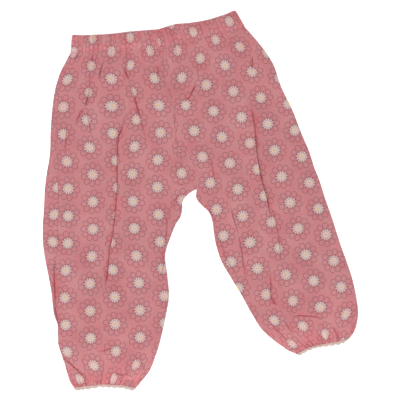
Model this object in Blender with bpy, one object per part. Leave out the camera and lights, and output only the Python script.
"""A small child's pyjama bottoms, laid flat on their back.

A gathered waist casing holds two full legs, which end in gathered ankle casings with a wavy edge.
Every piece is one closed wall of cloth. The back panels lie flat on the surface and the front panels
lie on them, a little lofted. Y points up the garment to the waist and Z up out of the surface. Left
and right are as seen from above, so the left leg, at -X, is the wearer's right one.
"""

import math

import bmesh
import bpy
import numpy as np

MM = 0.001  # the sizes below are in millimetres and the model is in metres

# Cloth and seams, mm
WALL = 1.0  # one layer of cloth
SEAM_GAP = 0.3  # between pieces that are sewn together
EDGE_RADIUS = 1.3  # of the side edges, where the front turns into the back
CASING = 2.0  # half of a casing: turned cloth with the elastic inside
LEAST_CASING = 0.7  # where its half rounds over at the side edges

# How the front stands off the back, mm
LOFT = 0.9
LOFT_REACH = 16.0  # in from an open edge, over which it builds up
LEAST_LOFT = 0.3  # left where the waves and troughs would press the front into the back
SWELL = 0.35  # height of the slow waves over the front
SWELL_ACROSS = 31.0  # mm in X, and below in Y, for each radian of these waves
SWELL_DOWN = 38.0
SWELL_SNAKE = (1.3, 47.0)  # radians that they snake by, and mm in Y for each radian of the snaking
SWELL_START = 0.7  # where in their turn they are at Y 0, radians

# Gathers
WAIST_WAVES = 36  # across the waist casing
WAIST_WAVE_HEIGHT = 0.45
ANKLE_WAVES = 15  # across each ankle casing
ANKLE_WAVE_HEIGHT = 0.5
EDGE_RIPPLE = 0.5  # in and out of the waist's top edge and of the ankle's lip, mm
LEG_GATHERS = 7  # soft folds that run down into each leg's front from its casings
GATHER_HEIGHT = 0.55
LEG_GATHER_DRIFT = (0.35, 5.0)  # turns by which their spacing drifts, and how fast
WAIST_GATHER_REACH = 30.0  # over which they die away below the waist, mm
ANKLE_GATHER_REACH = 20.0  # and above the ankles
SOFT_FOLD_END = 0.35  # share of a soft fold's height that is left at its ends

# The lapped fold down each leg's front
FOLD_STEP = WALL + SEAM_GAP  # from one layer of the fold to the next
FOLD_RAMP = 18.0  # over which the top layer comes back down to the panel, mm
LEAST_LAP = 0.5
LEAST_TURN = 0.02  # of a fold that has opened out flat, radians
BEND_POINTS = 4

# Mesh columns and rows of a leg
COLUMNS_INSIDE_FOLD = 11
COLUMNS_OUTSIDE_FOLD = 12
BACK_COLUMNS = 3
ROWS_ABOVE_CROTCH = 10
ROWS_BELOW_CROTCH = 13
CROTCH_MARGIN = 2.5  # from the crotch up to the next row, mm
COLUMNS_PER_WAVE = 4
ARC_POINTS = 13  # along a soft fold
FOLD_SAMPLES = 400  # along a lapped fold, where its crossing of a row is looked for

# Centre seam, waist first, the same in front and behind: (x, y)
CENTRE_SEAM = (
    (-50.0, 188.0),
    (-48.0, 170.0),
    (-42.0, 145.0),
    (-32.0, 115.0),
    (-31.0, 86.0),
    (-26.0, 60.0),
    (-16.0, 32.5),
    (-4.0, 14.0),  # crotch
)

# Outer edge of each leg beside each point of the centre seam: (x, y, wrap).
# wrap is how far the back panel comes round that edge before the side seam.
LEFT_HIP = (
    (-162.0, 183.5, 2.0),
    (-172.0, 165.0, 2.0),
    (-180.0, 142.5, 5.0),
    (-184.5, 115.0, 7.5),
    (-187.5, 86.0, 7.5),
    (-188.5, 60.0, 10.5),
    (-192.0, 30.0, 15.0),
    (-194.0, 14.0, 17.0),
)
RIGHT_HIP = (
    (57.0, 215.0, 0.0),
    (73.5, 196.0, 0.0),
    (90.0, 172.5, 0.0),
    (102.0, 140.0, 0.0),
    (116.0, 111.0, 0.0),
    (127.0, 82.5, 0.0),
    (137.0, 59.0, 0.0),
    (142.5, 41.0, 0.0),
)

# Sections of each leg below the crotch: (outer_x, outer_y, wrap, inner_x, inner_y)
LEFT_LEG = (
    (-194.5, 2.0, 18.5, -13.8, 8.0),
    (-195.0, -8.0, 18.5, -21.8, -2.0),
    (-195.5, -18.0, 19.0, -22.3, -11.5),
    (-196.5, -30.0, 19.5, -24.3, -21.0),
    (-197.0, -43.0, 20.0, -29.8, -29.5),
    (-197.0, -57.5, 19.0, -36.3, -45.0),
    (-194.0, -75.0, 15.5, -43.3, -67.5),
    (-189.0, -97.5, 8.0, -40.8, -94.0),
    (-185.0, -120.0, 5.0, -38.8, -120.0),
    (-182.5, -142.5, 2.5, -41.8, -140.0),
    (-178.5, -169.0, 2.0, -48.3, -170.0),
    (-172.5, -195.0, 2.0, -55.3, -194.0),
    (-165.5, -217.5, 2.0, -64.8, -216.0),
    (-163.0, -226.0, 2.0, -72.3, -225.5),
)
RIGHT_LEG = (
    (149.0, 25.0, 0.0, -4.5, 2.0),
    (153.0, 12.5, 0.0, 2.5, -7.0),
    (157.0, 0.0, 0.0, 10.5, -14.5),
    (162.0, -14.0, 0.0, 15.0, -25.0),
    (167.0, -29.0, 0.0, 17.0, -39.0),
    (172.0, -45.0, 0.0, 19.5, -54.0),
    (177.0, -60.0, 0.0, 26.0, -75.0),
    (183.5, -81.0, 0.0, 39.0, -97.5),
    (190.0, -97.5, 0.0, 52.5, -120.0),
    (195.0, -120.0, 0.0, 65.0, -142.5),
    (197.5, -141.0, 0.0, 78.0, -162.5),
    (196.0, -154.0, 0.0, 92.5, -175.5),
    (193.0, -164.0, 0.0, 109.0, -187.5),
)

# Lapped fold down each front, whose edge points to the outer side: (x, y, turn, lap).
# turn is the angle, in degrees, that the cloth turns through at each bend: 0 is flat, and 180 folds
# it right back on itself. lap is how far the layers then lie over each other.
LEFT_FOLD = (
    (-95.0, 186.0, 0, 0.0),
    (-90.0, 140.0, 0, 0.0),
    (-94.0, 106.0, 10, 0.0),
    (-97.0, 92.0, 60, 0.0),
    (-101.0, 77.0, 150, 0.0),
    (-102.0, 55.0, 180, 3.5),
    (-102.5, 30.0, 180, 5.0),
    (-102.5, 12.5, 180, 5.0),
    (-104.0, -4.0, 180, 4.5),
    (-106.5, -29.0, 180, 4.0),
    (-108.5, -45.0, 180, 3.5),
    (-112.0, -62.0, 180, 2.5),
    (-113.5, -81.0, 150, 1.5),
    (-116.0, -96.0, 100, 0.5),
    (-119.0, -111.0, 40, 0.0),
    (-122.0, -130.0, 0, 0.0),
    (-124.0, -175.0, 0, 0.0),
    (-119.0, -226.0, 0, 0.0),
)
RIGHT_FOLD = (
    (8.0, 203.0, 0, 0.0),
    (30.0, 170.0, 0, 0.0),
    (52.0, 140.0, 0, 0.0),
    (64.0, 120.0, 15, 0.0),
    (66.5, 109.0, 70, 0.0),
    (68.5, 90.0, 160, 1.0),
    (71.0, 59.0, 180, 3.5),
    (74.0, 39.0, 180, 4.0),
    (78.0, 21.0, 180, 4.0),
    (83.5, 1.0, 180, 3.0),
    (95.0, -17.5, 160, 1.5),
    (98.0, -40.0, 100, 0.5),
    (96.5, -62.0, 60, 0.0),
    (91.0, -90.0, 90, 0.0),
    (89.5, -112.0, 110, 0.0),
    (94.0, -132.0, 50, 0.0),
    (105.0, -148.0, 0, 0.0),
    (150.0, -176.0, 0, 0.0),
)

# Soft folds of the fronts, each an arc from its first point past its middle one to its last:
# (x0, y0, x1, y1, x2, y2, half_width, height), where a height below 0 is a trough
SOFT_FOLDS = (
    (-121.0, 176.0, -123.0, 163.0, -127.0, 150.0, 5.0, -0.8),
    (-138.0, 158.0, -137.0, 138.0, -144.0, 116.0, 5.0, -1.0),
    (-144.0, 116.0, -150.0, 105.0, -156.0, 96.0, 5.0, 0.8),
    (-94.0, 164.0, -82.0, 128.0, -72.0, 92.0, 6.0, 0.9),
    (-166.0, 84.0, -168.0, 76.0, -170.0, 66.0, 5.0, 0.7),
    (-44.0, 56.0, -43.0, 6.0, -44.0, -54.0, 6.0, 0.8),
    (-124.0, -183.0, -110.0, -186.0, -99.0, -181.0, 6.0, 0.9),
    (-166.0, -203.0, -154.0, -212.0, -142.0, -221.0, 6.0, 1.0),
    (-4.0, 143.0, -6.0, 138.0, -9.0, 132.0, 5.0, 0.7),
    (66.0, 177.0, 67.0, 171.0, 67.0, 165.0, 5.0, -0.7),
    (13.0, 42.0, 19.0, 28.0, 19.0, 12.0, 6.0, 0.8),
    (38.0, -10.0, 41.0, -17.0, 43.0, -24.0, 5.0, 0.7),
    (4.0, -4.0, 14.0, -17.0, 22.0, -38.0, 4.0, -0.6),
    (110.0, -147.0, 128.0, -143.0, 155.0, -148.0, 6.0, 1.1),
    (86.0, -118.0, 93.0, -124.0, 97.0, -130.0, 5.0, 0.6),
)

# The waist casing's top edge, the ankle casings' lips, each from left to right: (x, y)
WAIST_TOP = (
    (-160.0, 206.6),
    (-155.0, 208.1),
    (-125.0, 208.1),
    (-95.0, 210.6),
    (-72.5, 213.1),
    (-51.0, 214.6),
    (-42.5, 218.1),
    (-32.5, 221.1),
    (-12.5, 223.1),
    (2.5, 225.6),
    (12.5, 228.6),
    (25.0, 231.1),
    (35.0, 234.6),
    (41.0, 238.0),
    (46.0, 238.0),
)
LEFT_LIP = (
    (-155.5, -237.7),
    (-144.0, -236.2),
    (-131.0, -235.2),
    (-125.0, -233.7),
    (-112.5, -234.7),
    (-100.0, -235.2),
    (-87.5, -237.2),
    (-82.5, -237.7),
)
RIGHT_LIP = (
    (123.5, -194.2),
    (134.0, -188.2),
    (142.5, -185.2),
    (155.0, -182.7),
    (171.0, -180.7),
    (180.0, -178.2),
    (186.5, -172.5),
)

# Steps in from each end of a casing, in casing thicknesses, over which it rounds over
CASING_END = (0.0, 0.15, 0.5, 1.0)

# Section of each casing, once round: (share of the way from seam to free edge, share of the
# thickness, share of the wave). The waist's ends in a rounded fold, and the ankle's in a lip past
# its stitch line.
TUNNEL_SECTION = (
    (0.0, 0.0, 0.0),
    (0.0, 0.9, 0.6),
    (0.5, 1.0, 1.0),
    (0.93, 1.0, 1.0),
    (1.0, 0.6, 0.5),
    (1.0, 0.3, 0.0),
    (0.96, 0.0, 0.0),
)
LIP_SECTION = (
    (0.0, 0.0, 0.0),
    (0.0, 0.9, 0.6),
    (0.35, 1.0, 1.0),
    (0.7, 0.75, 1.0),
    (0.85, 0.8, 1.0),
    (1.0, 0.55, 0.8),
    (1.0, 0.2, 0.0),
    (0.96, 0.0, 0.0),
)

# How the gathers' spacing drifts along a casing: (turns of drift, how fast it changes), and how
# unequal their heights are: (share, how fast it changes)
GATHER_DRIFT = ((0.08, 9.0), (0.05, 23.0))
GATHER_UNEVEN = (0.25, 17.0)

# Colours, linear RGB
ROSE = (0.59, 0.205, 0.222)
DEEP_ROSE = (0.52, 0.17, 0.19)
PALE_ROSE = (0.64, 0.25, 0.265)
CLOTH_ROUGHNESS = 0.9

# Worked out from the above, mm
MIDDLE_RADIUS = EDGE_RADIUS - WALL / 2  # of the middle of the wall round a side edge
QUARTER_TURN = MIDDLE_RADIUS * math.pi / 2
EDGE_STEPS = (0.0, QUARTER_TURN / 3, 2 * QUARTER_TURN / 3, QUARTER_TURN, 5.0)  # columns at an edge
EDGE_LEVEL = EDGE_RADIUS  # height at which front and back meet at a side edge
UP = np.array((0.0, 0.0, 1.0))


def clear_scene():
    for item in list(bpy.data.objects):
        bpy.data.objects.remove(item, do_unlink=True)


def unit(vectors):
    """The vectors at length 1."""
    return vectors / np.maximum(np.linalg.norm(vectors, axis=-1, keepdims=True), 1e-9)


def smooth_step(value):
    """0 below 0, 1 above 1 and an S between."""
    value = np.clip(value, 0.0, 1.0)
    return value * value * (3 - 2 * value)


def through(points, knots, at):
    """A smooth curve through the rows of points, which lie at the knots, read at other knots."""
    slopes = np.gradient(points, knots, axis=0)
    k = np.clip(np.searchsorted(knots, at, side="right") - 1, 0, len(knots) - 2)
    span = (knots[k + 1] - knots[k])[:, None]
    t = ((at - knots[k]) / (knots[k + 1] - knots[k]))[:, None]
    start = (1 + 2 * t) * (1 - t) ** 2 * points[k] + t * (1 - t) ** 2 * span * slopes[k]
    end = t * t * (3 - 2 * t) * points[k + 1] + t * t * (t - 1) * span * slopes[k + 1]
    return start + end


def lengths_along(points):
    """Distance from the first point to each, from point to point."""
    steps = np.linalg.norm(np.diff(points, axis=0), axis=1)
    return np.concatenate(((0.0,), np.cumsum(steps)))


def sideways(tangents, towards):
    """Unit vectors at right angles to the tangents, in plan, on the side that towards points to."""
    normals = unit(np.stack((-tangents[:, 1], tangents[:, 0]), axis=1))
    side = np.sign(np.sum(normals * towards, axis=1, keepdims=True))
    return normals * np.where(side == 0, 1.0, side)


class Leg:
    """The rows of one leg from waist to ankle: ends, directions and how far each is from a casing."""

    def __init__(self, hip, below, fold):
        hip = np.array(hip)
        seam = np.array(CENTRE_SEAM)
        below = np.array(below)
        crotch = len(seam) - 1
        table = np.vstack((np.hstack((hip, seam)), below))  # outer x, y, wrap, inner x, y
        above_knots = lengths_along(seam)
        below_knots = lengths_along(table[crotch:, 0:2]) + lengths_along(table[crotch:, 3:5])
        half_gap = SEAM_GAP / 2
        last = above_knots[-1] - CROTCH_MARGIN
        at_above = np.append(np.linspace(half_gap, last, ROWS_ABOVE_CROTCH), above_knots[-1])
        end = below_knots[-1] - SEAM_GAP
        at_below = np.linspace(0.0, end, ROWS_BELOW_CROTCH + 1)[1:]
        upper = through(table[: crotch + 1], above_knots, at_above)
        lower = through(table[crotch:], below_knots, at_below)
        rows = np.vstack((upper, lower))
        self.first_edge_row = len(upper) - 1  # from the crotch down, the inner end is an open edge
        self.outer, self.inner = rows[:, 0:2], rows[:, 3:5].copy()
        self.wrap = rows[:, 2]
        self.wraps = bool(hip[0, 2] > 0)
        self.fold = np.array(fold, dtype=float)
        self.crotch = seam[-1]
        across = unit(self.outer - self.inner)
        self.outer_normal = sideways(np.gradient(self.outer, axis=0), across)
        c = self.first_edge_row
        self.seam_normal = sideways(np.gradient(self.inner[: c + 1], axis=0), -across[: c + 1])
        edge_normal = sideways(np.gradient(self.inner[c:], axis=0), -across[c:])
        self.inner_normal = np.vstack((self.seam_normal, edge_normal[1:]))
        self.inner[: c + 1] -= self.seam_normal * half_gap
        middle = (self.outer + self.inner) / 2
        self.from_waist = lengths_along(middle)
        self.from_ankle = self.from_waist[-1] - self.from_waist

    def middle_ends(self, row):
        """Where the middle of the wall starts and ends in this row, in plan."""
        start, end = self.inner[row], self.outer[row] - self.outer_normal[row] * WALL / 2
        if row >= self.first_edge_row:
            start = start - self.inner_normal[row] * WALL / 2
        return start, end

    def fold_crossing(self, row):
        """Distance from the row's start to the fold's edge, and the fold's turn and lap there."""
        start, end = self.middle_ends(row)
        across = unit(end - start)
        knots = lengths_along(self.fold[:, 0:2])
        fine = np.linspace(0.0, knots[-1], FOLD_SAMPLES)
        curve = np.column_stack([np.interp(fine, knots, self.fold[:, k]) for k in range(4)])
        offset = (curve[:, 0] - start[0]) * across[1] - (curve[:, 1] - start[1]) * across[0]
        nearest = int(np.argmin(np.abs(offset)))
        distance = float(np.dot(curve[nearest, 0:2] - start, across))
        return distance, math.radians(curve[nearest, 2]), max(LEAST_LAP, curve[nearest, 3])


def fold_profile(turn, lap):
    """Points (along, up) of a fold's section: a bend one way, a straight and the same bend back.

    Each bend keeps its length while its radius falls as the turn grows, so the fold opens out flat.
    """
    turn = max(turn, LEAST_TURN)
    radius = math.pi * FOLD_STEP / 2 / turn
    angles = np.linspace(0.0, turn, BEND_POINTS)
    first = radius * np.column_stack((np.sin(angles), np.cos(angles) - 1))
    straight = lap * np.array((math.cos(turn), -math.sin(turn)))
    second = first[-1] + straight + first[-1] - first[::-1]
    points = np.vstack((first, second))
    points[:, 1] -= points[-1, 1]
    return points


def inward(arc):
    """How far in from a side edge the wall's middle is, after an arc along it from that edge."""
    round_part = MIDDLE_RADIUS * (1 - np.cos(np.minimum(arc, QUARTER_TURN) / MIDDLE_RADIUS))
    return round_part + np.maximum(arc - QUARTER_TURN, 0.0)


def rise(arc):
    """How far the wall's middle is above or below the edge level after an arc from the edge."""
    return MIDDLE_RADIUS * np.sin(np.minimum(arc, QUARTER_TURN) / MIDDLE_RADIUS)


def turned(arc):
    """The angle that the wall has turned through after an arc from the edge, up to a right angle."""
    return np.minimum(arc, QUARTER_TURN) / MIDDLE_RADIUS


def soft_folds(points):
    """Height that the soft folds add at each point: a smooth ridge about an arc, fading at its ends."""
    total = np.zeros(len(points))
    for x0, y0, x1, y1, x2, y2, half_width, height in SOFT_FOLDS:
        t = np.linspace(0.0, 1.0, ARC_POINTS)[:, None]
        bend = 2 * np.array((x1, y1)) - (np.array((x0, y0)) + np.array((x2, y2))) / 2
        arc = (1 - t) ** 2 * np.array((x0, y0)) + 2 * t * (1 - t) * bend + t * t * np.array((x2, y2))
        away = np.linalg.norm(points[:, None, :] - arc[None, :, :], axis=2)
        fade = SOFT_FOLD_END + (1 - SOFT_FOLD_END) * np.sin(math.pi * t[:, 0])
        total += height * np.max(fade * np.exp(-((away / half_width) ** 2)), axis=1)
    return total


def front_height(leg, row, points, share, inset):
    """How far the front's middle is above its level at a side edge: loft, swell, gathers and folds.

    share runs from 0 at the row's inner end to 1 at its outer one. inset is the distance from the
    nearest open edge.
    """
    build_up = 1 - np.exp(-inset / LOFT_REACH)
    x, y = points[:, 0], points[:, 1]
    snake = SWELL_SNAKE[0] * np.sin(y / SWELL_SNAKE[1])
    swell = SWELL * np.sin(x / SWELL_ACROSS + snake) * np.sin(y / SWELL_DOWN + SWELL_START)
    fade_below_waist = np.exp(-leg.from_waist[row] / WAIST_GATHER_REACH)
    fade_above_ankle = np.exp(-leg.from_ankle[row] / ANKLE_GATHER_REACH)
    turns = LEG_GATHERS * share + LEG_GATHER_DRIFT[0] * np.sin(LEG_GATHER_DRIFT[1] * share)
    gathers = GATHER_HEIGHT * (fade_below_waist + fade_above_ankle) * np.cos(2 * math.pi * turns)
    height = LOFT + swell + gathers + soft_folds(points)
    return build_up * (height + np.sqrt(height**2 + LEAST_LOFT**2)) / 2  # never below 0


def open_edge_distance(leg, row, points, from_inner, from_outer):
    """Distance from the nearest open edge: a leg's side, or above the crotch the crotch itself."""
    if row >= leg.first_edge_row:
        return np.minimum(from_inner, from_outer)
    return np.minimum(from_outer, np.linalg.norm(points - leg.crotch, axis=1))


def wall_normals(middle):
    """Normals of a grid of points, from the directions along and across it."""
    steps = unit(np.diff(middle, axis=1))
    along = np.concatenate((steps[:, :1], steps[:, :-1] + steps[:, 1:], steps[:, -1:]), axis=1)
    down = np.gradient(middle, axis=0)
    normals = unit(np.cross(along, down))
    return normals * np.sign(normals[0, 0, 2])


def front_panel(leg):
    """Outer and inner grid of a front panel, from its inner end to the side seam."""
    middle, ends = [], []
    steps = np.array(EDGE_STEPS)
    for row in range(len(leg.outer)):
        start, end = leg.middle_ends(row)
        across = unit(end - start)
        width = float(np.linalg.norm(end - start))
        edge_row = row >= leg.first_edge_row
        inner_arc = SEAM_GAP / 2 + steps
        outer_arc = leg.wrap[row] + SEAM_GAP / 2 + steps[::-1]
        edge, turn, lap = leg.fold_crossing(row)
        profile = fold_profile(turn, lap)
        fold_start = edge - profile[:, 0].max()
        fold_end = fold_start + profile[-1, 0]
        near = inward(inner_arc)
        far = width - inward(outer_arc)
        before = np.linspace(near[-1], fold_start, COLUMNS_INSIDE_FOLD + 1)[1:-1]
        after = np.linspace(fold_end, far[0], COLUMNS_OUTSIDE_FOLD + 1)[1:-1]
        place = np.concatenate((near, before, fold_start + profile[:, 0], after, far))
        points = start + place[:, None] * across
        lift = np.zeros(len(place))
        lift[len(near) + len(before) :][: len(profile)] = profile[:, 1]
        ahead = fold_start - place[: len(near) + len(before)]
        over_layers = lap + 1.5 * FOLD_STEP
        lift[: len(ahead)] = profile[0, 1] * (1 - smooth_step((ahead - over_layers) / FOLD_RAMP))
        round_rise = np.full(len(place), MIDDLE_RADIUS)
        if edge_row:
            round_rise[: len(near)] = rise(inner_arc)
        round_rise[-len(far) :] = rise(outer_arc)
        inset = open_edge_distance(leg, row, points, place, width - place)
        height = EDGE_LEVEL + round_rise + lift + front_height(leg, row, points, place / width, inset)
        middle.append(np.column_stack((points, height)))
        inner_arc[0], outer_arc[-1] = 0.0, leg.wrap[row]  # a seam's two faces stand parallel
        ends.append((turned(inner_arc) if edge_row else None, turned(outer_arc)))
    middle = np.array(middle)
    normals = wall_normals(middle)
    round_over(normals, leg, ends)
    return wall(middle, normals)


def round_over(normals, leg, ends):
    """Set the normals round the side edges from the turn of the wall there, and square up the seams."""
    last = len(EDGE_STEPS)
    for row, (inner_turn, outer_turn) in enumerate(ends):
        for angle, side, columns, end in (
            (inner_turn, leg.inner_normal[row], slice(0, last), 0),
            (outer_turn, leg.outer_normal[row], slice(-last, None), -1),
        ):
            outward = np.append(side, 0.0)
            if angle is not None:
                rounded = np.cos(angle)[:, None] * outward + np.sin(angle)[:, None] * UP
                still_turning = angle < math.pi / 2 - 1e-6
                normals[row, columns][still_turning] = rounded[still_turning]
            if angle is None or not still_turning.any():
                normals[row, end] -= outward * np.dot(normals[row, end], outward)
    square_up(normals, leg)


def square_up(normals, leg):
    """Turn the normals of the first and last row into that row's own upright plane, beside a casing."""
    for row in (0, len(normals) - 1):
        start, end = leg.middle_ends(row)
        across = unit(end - start)
        square = np.array((-across[1], across[0], 0.0))
        normals[row] -= square * np.sum(normals[row] * square, axis=1, keepdims=True)
    normals[:] = unit(normals)


def back_panel(leg):
    """Outer and inner grid of a back panel: flat below, and up round the edges to the side seam."""
    middle, normals = [], []
    steps = np.array(EDGE_STEPS)
    for row in range(len(leg.outer)):
        start, end = leg.middle_ends(row)
        across = unit(end - start)
        width = float(np.linalg.norm(end - start))
        edge_row = row >= leg.first_edge_row
        inner_arc = SEAM_GAP / 2 + steps
        under_arc = (0.0 if leg.wraps else SEAM_GAP / 2) + steps[::-1]
        near = inward(inner_arc)
        far = width - inward(under_arc)
        between = np.linspace(near[-1], far[0], BACK_COLUMNS + 2)[1:-1]
        flat = np.full(len(between), MIDDLE_RADIUS)
        near_drop = rise(inner_arc) if edge_row else np.full(len(near), MIDDLE_RADIUS)
        place = np.concatenate((near, between, far))
        height = EDGE_LEVEL - np.concatenate((near_drop, flat, rise(under_arc)))
        inner_arc[0], under_arc[-1] = 0.0, 0.0  # a seam's two faces stand parallel
        near_turn = turned(inner_arc) if edge_row else np.full(len(near), math.pi / 2)
        angle = np.concatenate((near_turn, np.full(len(between), math.pi / 2), turned(under_arc)))
        if leg.wraps:
            place, height, angle = over_the_edge(leg.wrap[row], place, height, angle, width)
        points = start + place[:, None] * across
        top = angle < 0
        inset = open_edge_distance(leg, row, points[top], place[top], width - place[top])
        height[top] += front_height(leg, row, points[top], place[top] / width, inset)
        side = np.tile(np.append(leg.outer_normal[row], 0.0), (len(place), 1))
        if edge_row:
            side[: len(near)] = np.append(leg.inner_normal[row], 0.0)
        middle.append(np.column_stack((points, height)))
        normals.append(np.cos(angle)[:, None] * side - np.sin(angle)[:, None] * UP)
    normals = np.array(normals)
    square_up(normals, leg)
    return wall(np.array(middle), normals)


def over_the_edge(wrap, place, height, angle, width):
    """Carry a back panel's row on over the outer edge and in along the top as far as its wrap."""
    end = wrap - SEAM_GAP / 2
    knee = min(QUARTER_TURN, 0.75 * end)
    arc = np.array((knee / 3, 2 * knee / 3, knee, (knee + end) / 2, end))
    place = np.concatenate((place, width - inward(arc)))
    height = np.concatenate((height, EDGE_LEVEL + rise(arc)))
    arc[-1] = wrap
    return place, height, np.concatenate((angle, -turned(arc)))


def wall(middle, normals):
    """The two faces of a cloth wall about its middle."""
    half = normals * WALL / 2
    return middle + half, middle - half


def grid_solid(name, outer, inner, colour):
    """A closed solid between two grids of points, with a rim round all four sides."""
    rows, columns = outer.shape[:2]
    points = np.vstack((outer.reshape(-1, 3), inner.reshape(-1, 3))) * MM
    inner_start = rows * columns

    def at(row, column, start=0):
        return start + row * columns + column

    faces = []
    for r in range(rows - 1):
        for c in range(columns - 1):
            faces.append((at(r, c), at(r, c + 1), at(r + 1, c + 1), at(r + 1, c)))
            faces.append(tuple(i + inner_start for i in faces[-1][::-1]))
    for r in range(rows - 1):
        for c in (0, columns - 1):
            faces.append((at(r, c), at(r + 1, c), at(r + 1, c, inner_start), at(r, c, inner_start)))
    for c in range(columns - 1):
        for r in (0, rows - 1):
            faces.append((at(r, c), at(r, c + 1), at(r, c + 1, inner_start), at(r, c, inner_start)))
    return add_solid(name, points, faces, colour)


def add_solid(name, points, faces, colour):
    """A named object from points and faces, turned outside out, smooth, in a material of its own."""
    mesh = bpy.data.meshes.new(name)
    mesh.from_pydata([tuple(p) for p in points], [], faces)
    shape = bmesh.new()
    shape.from_mesh(mesh)
    bmesh.ops.recalc_face_normals(shape, faces=shape.faces)
    shape.to_mesh(mesh)
    shape.free()
    mesh.shade_smooth()
    mesh.set_sharp_from_angle(angle=math.radians(50))
    item = bpy.data.objects.new(name, mesh)
    bpy.context.collection.objects.link(item)
    material = bpy.data.materials.new(name)
    material.use_nodes = True
    shader = material.node_tree.nodes["Principled BSDF"]
    shader.inputs["Base Color"].default_value = (*colour, 1.0)
    shader.inputs["Roughness"].default_value = CLOTH_ROUGHNESS
    shader.inputs["Metallic"].default_value = 0.0
    mesh.materials.append(material)
    return item


def edge_points(points, shares):
    """Points at shares of the length of a run of straight stretches."""
    x, y = np.array(points).T
    lengths = lengths_along(np.array(points))
    at = shares * lengths[-1]
    return np.column_stack((np.interp(at, lengths, x), np.interp(at, lengths, y)))


def casing(name, sewn_edge, free_edge, gathers, lip, front):
    """Half of a casing: a thick strip between its seam and its free edge, gathered on its outer face.

    Its section is a flat inner face, a sewn end and an outer face that rounds over at the free edge.
    With a lip, the outer face dips at the stitch line before that edge. The back half is plain.
    """
    waves, wave_height = gathers
    count = waves * COLUMNS_PER_WAVE if front else waves
    length = lengths_along(np.array(sewn_edge))[-1]
    ends = np.array(CASING_END) * CASING / length
    between = np.linspace(ends[-1], 1 - ends[-1], count + 1)
    shares = np.concatenate((ends[:-1], between, 1 - ends[-2::-1]))
    inset = np.minimum(shares, 1 - shares) * length
    from_full = CASING - np.minimum(inset, CASING)
    thick = np.maximum(np.sqrt(CASING**2 - from_full**2), LEAST_CASING)
    turns = waves * shares + sum(drift * np.sin(rate * shares) for drift, rate in GATHER_DRIFT)
    unequal, rate = GATHER_UNEVEN
    uneven = 1 - unequal + unequal * np.sin(rate * shares)
    wave = np.sin(2 * math.pi * turns) * uneven * (thick / CASING) * (1.0 if front else 0.0)
    sewn = edge_points(sewn_edge, shares)
    free = edge_points(free_edge, shares)
    reach = unit(free - sewn)
    sewn = sewn + reach * SEAM_GAP / 2
    free = free + reach * (EDGE_RIPPLE * (wave - 0.5))[:, None]
    inner_level = CASING + SEAM_GAP if front else CASING
    upwards = 1.0 if front else -1.0
    ring = []
    for along, fill, lift in (LIP_SECTION if lip else TUNNEL_SECTION):
        plan = sewn + (free - sewn) * along
        height = thick * fill + wave_height * wave * lift
        ring.append(np.column_stack((plan, inner_level + upwards * height)))
    return ring_solid(name, np.array(ring), PALE_ROSE)


def ring_solid(name, ring, colour):
    """A closed solid from strips of points that go once round its section, with capped ends."""
    strips, columns = ring.shape[:2]
    faces = []
    for s in range(strips):
        this, following = s * columns, (s + 1) % strips * columns
        for c in range(columns - 1):
            faces.append((this + c, this + c + 1, following + c + 1, following + c))
    for c in (0, columns - 1):
        faces.append(tuple(s * columns + c for s in range(strips)))
    return add_solid(name, ring.reshape(-1, 3) * MM, faces, colour)


def build():
    clear_scene()
    left = Leg(LEFT_HIP, LEFT_LEG, LEFT_FOLD)
    right = Leg(RIGHT_HIP, RIGHT_LEG, RIGHT_FOLD)
    for side, leg in (("left", left), ("right", right)):
        grid_solid(f"front_{side}_leg", *front_panel(leg), ROSE)
        grid_solid(f"back_{side}_leg", *back_panel(leg), DEEP_ROSE)
    waist_seam = (LEFT_HIP[0][:2], CENTRE_SEAM[0], RIGHT_HIP[0][:2])
    left_ankle = (LEFT_LEG[-1][:2], LEFT_LEG[-1][3:])
    right_ankle = (RIGHT_LEG[-1][3:], RIGHT_LEG[-1][:2])
    waist_waves = (WAIST_WAVES, WAIST_WAVE_HEIGHT)
    ankle_waves = (ANKLE_WAVES, ANKLE_WAVE_HEIGHT)
    for half, front in (("front", True), ("back", False)):
        casing(f"waist_casing_{half}", waist_seam, WAIST_TOP, waist_waves, False, front)
        casing(f"ankle_casing_left_{half}", left_ankle, LEFT_LIP, ankle_waves, True, front)
        casing(f"ankle_casing_right_{half}", right_ankle, RIGHT_LIP, ankle_waves, True, front)


build()
